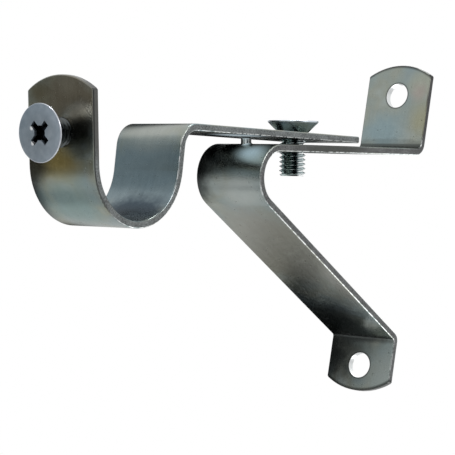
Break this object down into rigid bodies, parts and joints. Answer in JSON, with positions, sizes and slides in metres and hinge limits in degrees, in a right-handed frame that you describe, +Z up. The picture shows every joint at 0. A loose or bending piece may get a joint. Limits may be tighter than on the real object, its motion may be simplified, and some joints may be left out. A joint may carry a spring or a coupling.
{
  "type": "curtain pole bracket",
  "caption": "Bent steel strip bracket for a curtain pole: a braced wall arm carries a clamped sliding hook whose open saddle holds the pole under a grip screw.",
  "frame": {"origin": "on the wall plane, midway between the two wall holes", "axes": "+X along the pole and across the strips, +Y into the wall, +Z up"},
  "size_m": [0.018, 0.1191, 0.0801],
  "materials": {
    "wall_strip": "bright zinc plate, satin, faint green and straw tints",
    "hook_strip": "bright zinc plate, satin, straw and olive tints",
    "screw": "bright zinc plate, fine matt grain"
  },
  "bodies": {
    "wall_bracket": {"wall_bracket": "wall_strip"},
    "pole_hook": {"pole_hook": "hook_strip"},
    "clamp_screw": {"clamp_screw": "screw"},
    "pole_screw": {"pole_screw": "screw"}
  },
  "joints": [
    {"name": "hook_slide", "type": "slide", "parent": "wall_bracket", "child": "pole_hook", "axis": [0, -0.9829, -0.184], "range_m": [-0.006, 0.004]},
    {"name": "clamp_screw_travel", "type": "slide", "parent": "wall_bracket", "child": "clamp_screw", "axis": [0, -0.2079, 0.9781], "range_m": [0, 0.004]},
    {"name": "pole_screw_travel", "type": "slide", "parent": "pole_hook", "child": "pole_screw", "axis": [0, 0.9677, 0.2521], "range_m": [-0.0008, 0.0023]}
  ]
}
